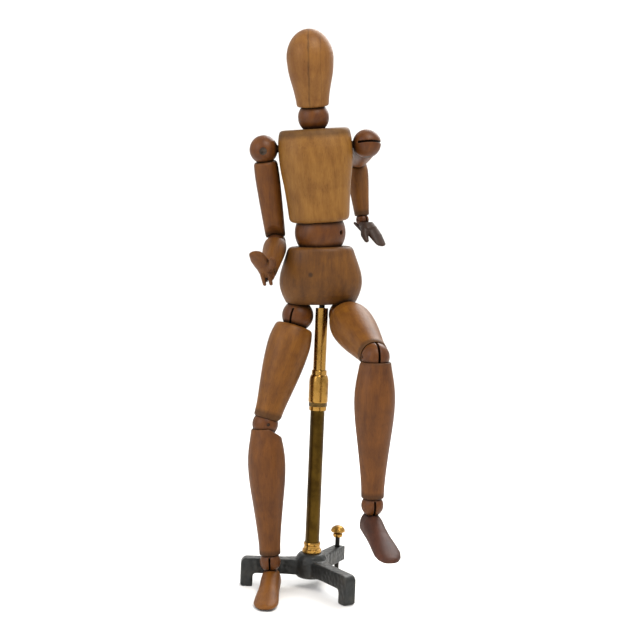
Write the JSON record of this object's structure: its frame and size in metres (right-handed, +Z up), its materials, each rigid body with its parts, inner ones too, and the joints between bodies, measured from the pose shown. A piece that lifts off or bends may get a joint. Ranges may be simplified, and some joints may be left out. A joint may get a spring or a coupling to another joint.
{
  "type": "artist mannequin",
  "caption": "Jointed wooden lay figure with slotted ball joints, hung on a telescoping brass column over a cast-iron tripod with a levelling screw.",
  "frame": {"origin": "on the floor, in the middle of the footprint of the object as posed; the column's axis is 4 mm to -X and 26 mm to +Y of it", "axes": "+Z up along the column, -Y the way the figure faces, +X the figure's left"},
  "size_m": [0.1631, 0.2629, 0.5771],
  "materials": {
    "turned_wood": "honey-coloured fine-grained hardwood, satin, worn, with dark grime at the edges",
    "ball_wood": "reddish-brown hardwood balls, darkened by handling, satin",
    "hand_wood": "carved hands, oiled and darkened, satin",
    "iron": "aged iron hooks and pins, dull",
    "cast_iron": "black hammered lacquer, semi-gloss",
    "tarnished_brass": "tarnished brass, olive brown, dull",
    "polished_brass": "worn polished brass, lengthwise hairline marks",
    "black_steel": "blackened steel, dull"
  },
  "bodies": {
    "stand": {"tripod": "cast_iron", "base_collar": "polished_brass", "lower_tube": "tarnished_brass", "collet": "polished_brass"},
    "screw_toe": {"levelling_toe": "black_steel"},
    "screw": {"levelling_screw": "black_steel", "levelling_knob": "polished_brass"},
    "clamp": {"knurled_ring": "tarnished_brass", "clamp_sleeve": "polished_brass"},
    "column": {"upper_tube": "polished_brass", "figure_rod": "black_steel"},
    "pelvis": {"pelvis": "turned_wood"},
    "waist_ball": {"waist_ball": "ball_wood", "waist_pin": "iron"},
    "waist_link": {"waist_hook": "iron"},
    "torso": {"torso": "turned_wood"},
    "neck_ball": {"neck_ball": "ball_wood", "neck_pin": "iron"},
    "neck_link": {"neck_hook": "iron"},
    "head": {"head": "turned_wood"},
    "right_shoulder": {"right_shoulder_ball": "ball_wood", "right_shoulder_pin": "iron"},
    "right_upper_arm": {"right_upper_arm": "turned_wood", "right_shoulder_hook": "iron"},
    "right_elbow": {"right_elbow_ball": "ball_wood"},
    "right_forearm": {"right_forearm": "turned_wood", "right_elbow_iron": "iron"},
    "right_wrist": {"right_wrist_ball": "ball_wood"},
    "right_hand": {"right_hand": "hand_wood", "right_wrist_iron": "iron"},
    "right_hip": {"right_hip_ball": "ball_wood", "right_hip_pin": "iron"},
    "right_hip_link": {"right_hip_hook": "iron"},
    "right_thigh": {"right_thigh": "turned_wood"},
    "right_knee": {"right_knee_ball": "ball_wood"},
    "right_shin": {"right_shin": "turned_wood", "right_knee_iron": "iron"},
    "right_ankle": {"right_ankle_ball": "ball_wood"},
    "right_foot": {"right_foot": "turned_wood", "right_ankle_iron": "iron"},
    "left_shoulder": {"left_shoulder_ball": "ball_wood", "left_shoulder_pin": "iron"},
    "left_upper_arm": {"left_upper_arm": "turned_wood", "left_shoulder_hook": "iron"},
    "left_elbow": {"left_elbow_ball": "ball_wood"},
    "left_forearm": {"left_forearm": "turned_wood", "left_elbow_iron": "iron"},
    "left_wrist": {"left_wrist_ball": "ball_wood"},
    "left_hand": {"left_hand": "hand_wood", "left_wrist_iron": "iron"},
    "left_hip": {"left_hip_ball": "ball_wood", "left_hip_pin": "iron"},
    "left_hip_link": {"left_hip_hook": "iron"},
    "left_thigh": {"left_thigh": "turned_wood"},
    "left_knee": {"left_knee_ball": "ball_wood"},
    "left_shin": {"left_shin": "turned_wood", "left_knee_iron": "iron"},
    "left_ankle": {"left_ankle_ball": "ball_wood"},
    "left_foot": {"left_foot": "turned_wood", "left_ankle_iron": "iron"}
  },
  "joints": [
    {"name": "levelling_travel", "type": "slide", "parent": "stand", "child": "screw_toe", "axis": [0, 0, 1], "range_m": [-0.00375, 0.00375]},
    {"name": "levelling_turn", "type": "hinge", "parent": "screw_toe", "child": "screw", "pos_m": [0.02765, 0.09474, 0], "axis": [0, 0, 1], "range_deg": [-1090, 1090]},
    {"name": "clamp_turn", "type": "hinge", "parent": "stand", "child": "clamp", "pos_m": [-0.0005, 0.0395, 0], "axis": [0, 0, 1], "range_deg": [-20, 180]},
    {"name": "column_lift", "type": "slide", "parent": "stand", "child": "column", "axis": [0, 0, 1], "range_m": [0, 0.09]},
    {"name": "figure_turn", "type": "hinge", "parent": "column", "child": "pelvis", "pos_m": [-0.0005, 0.0395, 0], "axis": [0, 0, 1], "range_deg": [-1, 12]},
    {"name": "waist_swivel", "type": "hinge", "parent": "pelvis", "child": "waist_ball", "pos_m": [-0.0056, 0.03494, 0.37506], "axis": [-0.0522, -0.061, 0.9968], "range_deg": [-20, 20]},
    {"name": "waist_bend", "type": "hinge", "parent": "waist_ball", "child": "waist_link", "pos_m": [-0.0056, 0.03494, 0.37506], "axis": [0.8297, -0.5581, 0.0093], "range_deg": [-20, 0]},
    {"name": "torso_turn", "type": "hinge", "parent": "waist_link", "child": "torso", "pos_m": [-0.0056, 0.03494, 0.37506], "axis": [-0.0986, -0.1301, 0.9866], "range_deg": [-20, 20]},
    {"name": "neck_swivel", "type": "hinge", "parent": "torso", "child": "neck_ball", "pos_m": [-0.01723, 0.01959, 0.49148], "axis": [-0.0986, -0.1301, 0.9866], "range_deg": [-45, 45]},
    {"name": "neck_nod", "type": "hinge", "parent": "neck_ball", "child": "neck_link", "pos_m": [-0.01723, 0.01959, 0.49148], "axis": [0.9951, -0.0045, 0.0988], "range_deg": [-25, 18]},
    {"name": "head_turn", "type": "hinge", "parent": "neck_link", "child": "head", "pos_m": [-0.01723, 0.01959, 0.49148], "axis": [-0.097, -0.2415, 0.9655], "range_deg": [-60, 60]},
    {"name": "right_shoulder_swing", "type": "hinge", "parent": "torso", "child": "right_shoulder", "pos_m": [-0.06706, 0.02368, 0.45704], "axis": [-0.9951, 0.0045, -0.0988], "range_deg": [-4, 60]},
    {"name": "right_arm_lift", "type": "hinge", "parent": "right_shoulder", "child": "right_upper_arm", "pos_m": [-0.06706, 0.02368, 0.45704], "axis": [-0.0177, 0.9749, 0.2222], "range_deg": [0, 60]},
    {"name": "right_elbow_turn", "type": "hinge", "parent": "right_upper_arm", "child": "right_elbow", "pos_m": [-0.05119, 0.04528, 0.3635], "axis": [-0.1631, -0.222, 0.9613], "range_deg": [-30, 0]},
    {"name": "right_elbow_bend", "type": "hinge", "parent": "right_elbow", "child": "right_forearm", "pos_m": [-0.05119, 0.04528, 0.3635], "axis": [-0.9782, 0.1631, -0.1283], "range_deg": [-3, 16]},
    {"name": "right_wrist_turn", "type": "hinge", "parent": "right_forearm", "child": "right_wrist", "pos_m": [-0.05601, -0.01076, 0.32898], "axis": [0.073, 0.8492, 0.523], "range_deg": [-60, 60]},
    {"name": "right_wrist_bend", "type": "hinge", "parent": "right_wrist", "child": "right_hand", "pos_m": [-0.05601, -0.01076, 0.32898], "axis": [0.983, -0.1499, 0.1062], "range_deg": [-16, 25]},
    {"name": "right_hip_turn", "type": "hinge", "parent": "pelvis", "child": "right_hip", "pos_m": [-0.02554, 0.04023, 0.28736], "axis": [-0.1565, 0.0597, -0.9859], "range_deg": [-2, 10]},
    {"name": "right_hip_swing", "type": "hinge", "parent": "right_hip", "child": "right_hip_link", "pos_m": [-0.02554, 0.04023, 0.28736], "axis": [-0.8979, 0.4071, 0.1672], "range_deg": [0, 50]},
    {"name": "right_thigh_roll", "type": "hinge", "parent": "right_hip_link", "child": "right_thigh", "pos_m": [-0.02554, 0.04023, 0.28736], "axis": [-0.2438, -0.1437, -0.9591], "range_deg": [-1, 15]},
    {"name": "right_knee_turn", "type": "hinge", "parent": "right_thigh", "child": "right_knee", "pos_m": [-0.05435, 0.02325, 0.17399], "axis": [-0.2438, -0.1437, -0.9591], "range_deg": [-1, 15]},
    {"name": "right_knee_bend", "type": "hinge", "parent": "right_knee", "child": "right_shin", "pos_m": [-0.05435, 0.02325, 0.17399], "axis": [0.3013, -0.9513, 0.0659], "range_deg": [-15, 0]},
    {"name": "right_ankle_turn", "type": "hinge", "parent": "right_shin", "child": "right_ankle", "pos_m": [-0.04319, 0.01689, 0.03127], "axis": [-0.0779, 0.0444, 0.996], "range_deg": [-20, 20]},
    {"name": "right_ankle_bend", "type": "hinge", "parent": "right_ankle", "child": "right_foot", "pos_m": [-0.04319, 0.01689, 0.03127], "axis": [0.9964, -0.0298, 0.0793], "range_deg": [-10, 2]},
    {"name": "left_shoulder_swing", "type": "hinge", "parent": "torso", "child": "left_shoulder", "pos_m": [0.03843, 0.0232, 0.46751], "axis": [-0.9951, 0.0045, -0.0988], "range_deg": [-5, 36]},
    {"name": "left_arm_lift", "type": "hinge", "parent": "left_shoulder", "child": "left_upper_arm", "pos_m": [0.03843, 0.0232, 0.46751], "axis": [0.0981, -0.0859, -0.9915], "range_deg": [0, 60]},
    {"name": "left_elbow_turn", "type": "hinge", "parent": "left_upper_arm", "child": "left_elbow", "pos_m": [0.03056, 0.11975, 0.45837], "axis": [0.0808, -0.9923, 0.0939], "range_deg": [-30, 30]},
    {"name": "left_elbow_bend", "type": "hinge", "parent": "left_elbow", "child": "left_forearm", "pos_m": [0.03056, 0.11975, 0.45837], "axis": [-0.9849, -0.094, -0.1456], "range_deg": [-80, 2]},
    {"name": "left_wrist_turn", "type": "hinge", "parent": "left_forearm", "child": "left_wrist", "pos_m": [0.04049, 0.11671, 0.39319], "axis": [-0.1504, 0.0461, 0.9876], "range_deg": [-60, 60]},
    {"name": "left_wrist_bend", "type": "hinge", "parent": "left_wrist", "child": "left_hand", "pos_m": [0.04049, 0.11671, 0.39319], "axis": [0.7541, 0.6514, 0.0844], "range_deg": [-25, 25]},
    {"name": "left_hip_turn", "type": "hinge", "parent": "pelvis", "child": "left_hip", "pos_m": [0.02339, 0.04023, 0.28992], "axis": [-0.2587, -0.0597, 0.9641], "range_deg": [-10, 10]},
    {"name": "left_hip_swing", "type": "hinge", "parent": "left_hip", "child": "left_hip_link", "pos_m": [0.02339, 0.04023, 0.28992], "axis": [-0.9489, -0.1711, -0.2652], "range_deg": [-40, 2]},
    {"name": "left_thigh_roll", "type": "hinge", "parent": "left_hip_link", "child": "left_thigh", "pos_m": [0.02339, 0.04023, 0.28992], "axis": [-0.2465, 0.9266, 0.2841], "range_deg": [-15, 15]},
    {"name": "left_knee_turn", "type": "hinge", "parent": "left_thigh", "child": "left_knee", "pos_m": [0.05253, -0.06929, 0.25634], "axis": [-0.2465, 0.9266, 0.2841], "range_deg": [-15, 15]},
    {"name": "left_knee_bend", "type": "hinge", "parent": "left_knee", "child": "left_shin", "pos_m": [0.05253, -0.06929, 0.25634], "axis": [0.9681, 0.2491, 0.0278], "range_deg": [-60, 5]},
    {"name": "left_ankle_turn", "type": "hinge", "parent": "left_shin", "child": "left_ankle", "pos_m": [0.05588, -0.06633, 0.11311], "axis": [0.0234, 0.0206, -0.9995], "range_deg": [-20, 20]},
    {"name": "left_ankle_bend", "type": "hinge", "parent": "left_ankle", "child": "left_foot", "pos_m": [0.05588, -0.06633, 0.11311], "axis": [0.9731, 0.2287, 0.0275], "range_deg": [-15, 20]}
  ],
  "couplings": [
    {"joint": "levelling_turn", "follows": "levelling_travel", "rad_per_m": 5026.5}
  ]
}
